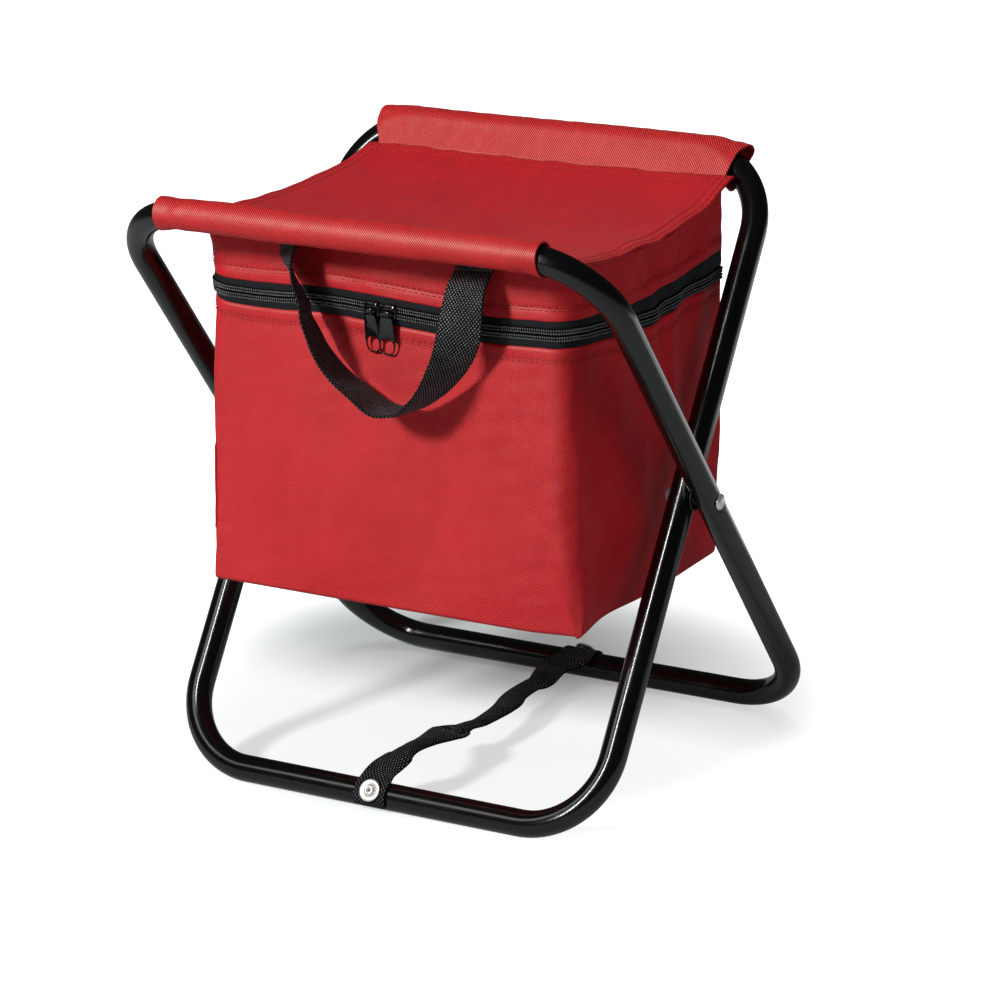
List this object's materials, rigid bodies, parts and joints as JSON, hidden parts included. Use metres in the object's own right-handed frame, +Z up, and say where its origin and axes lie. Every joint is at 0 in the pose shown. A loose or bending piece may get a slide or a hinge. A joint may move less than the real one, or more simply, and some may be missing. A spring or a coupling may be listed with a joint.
{
  "type": "folding cooler stool",
  "caption": "Folding camping stool: crossed bent tube loops, a sling seat, and a zipped insulated cooler bag with a webbing handle hanging under it.",
  "frame": {"origin": "middle of the footprint, on the floor", "axes": "+X across the width to the right of a person who faces the stool's front, +Y from the front to the rear, +Z up"},
  "size_m": [0.3376, 0.2584, 0.356],
  "materials": {
    "black_paint": "gloss powder coat on steel tube",
    "bare_steel": "zinc-plated rivet",
    "black_zinc": "semi-gloss enamel on die-cast zinc",
    "red_fabric": "coarse polyester weave",
    "black_webbing": "ribbed polypropylene webbing",
    "black_nylon": "moulded nylon",
    "white_foam": "closed-cell foam sheet",
    "foil_lining": "metallised lining film"
  },
  "bodies": {
    "inner_frame": {"inner_frame_tube": "black_paint", "pivot_rivet_left": "bare_steel", "pivot_rivet_right": "bare_steel", "pivot_washer_left": "black_nylon", "pivot_washer_right": "black_nylon", "spreader_strap": "black_webbing", "strap_rivet_front": "bare_steel", "strap_washer_front": "bare_steel"},
    "outer_frame": {"outer_frame_tube": "black_paint", "front_sleeve": "red_fabric", "strap_rivet_rear": "bare_steel", "strap_washer_rear": "bare_steel"},
    "seat": {"seat_panel": "red_fabric", "rear_sleeve": "red_fabric", "lid_band": "red_fabric", "lid_foam": "white_foam", "lid_lining": "foil_lining", "zipper_tape_upper": "black_webbing", "zipper_coil_upper": "black_nylon", "handle_end_left": "black_webbing", "handle_end_right": "black_webbing"},
    "cooler_bag": {"bag_shell": "red_fabric", "bag_foam": "white_foam", "bag_lining": "foil_lining", "zipper_tape_lower": "black_webbing", "zipper_coil_lower": "black_nylon"},
    "slider_left": {"zipper_slider_left": "black_zinc"},
    "slider_right": {"zipper_slider_right": "black_zinc"},
    "pull_left": {"zipper_pull_left": "black_zinc"},
    "pull_right": {"zipper_pull_right": "black_zinc"},
    "handle": {"carry_handle": "black_webbing"}
  },
  "joints": [
    {"name": "fold", "type": "hinge", "parent": "inner_frame", "child": "outer_frame", "pos_m": [0, 0, 0.17505], "axis": [-1, 0, 0], "range_deg": [0, 52], "deforming": ["seat_panel", "spreader_strap"]},
    {"name": "seat_level", "type": "hinge", "parent": "inner_frame", "child": "seat", "pos_m": [0, 0.1195, 0.3465], "axis": [-1, 0, 0], "range_deg": [0, 26]},
    {"name": "bag_open", "type": "hinge", "parent": "seat", "child": "cooler_bag", "pos_m": [0, 0.0868, 0.291], "axis": [1, 0, 0], "range_deg": [0, 25]},
    {"name": "slide_left", "type": "slide", "parent": "seat", "child": "slider_left", "axis": [-1, 0, 0], "range_m": [0, 0.09]},
    {"name": "slide_right", "type": "slide", "parent": "seat", "child": "slider_right", "axis": [1, 0, 0], "range_m": [0, 0.09]},
    {"name": "pull_left_swing", "type": "hinge", "parent": "slider_left", "child": "pull_left", "pos_m": [-0.0072, -0.09038, 0.291], "axis": [-1, 0, 0], "range_deg": [0, 120]},
    {"name": "pull_right_swing", "type": "hinge", "parent": "slider_right", "child": "pull_right", "pos_m": [0.0044, -0.09038, 0.291], "axis": [-1, 0, 0], "range_deg": [0, 120]},
    {"name": "handle_swing", "type": "hinge", "parent": "seat", "child": "handle", "pos_m": [0, -0.08447, 0.323], "axis": [-1, 0, 0], "range_deg": [0, 45]}
  ],
  "couplings": [
    {"joint": "seat_level", "follows": "fold", "ratio": 0.5}
  ]
}
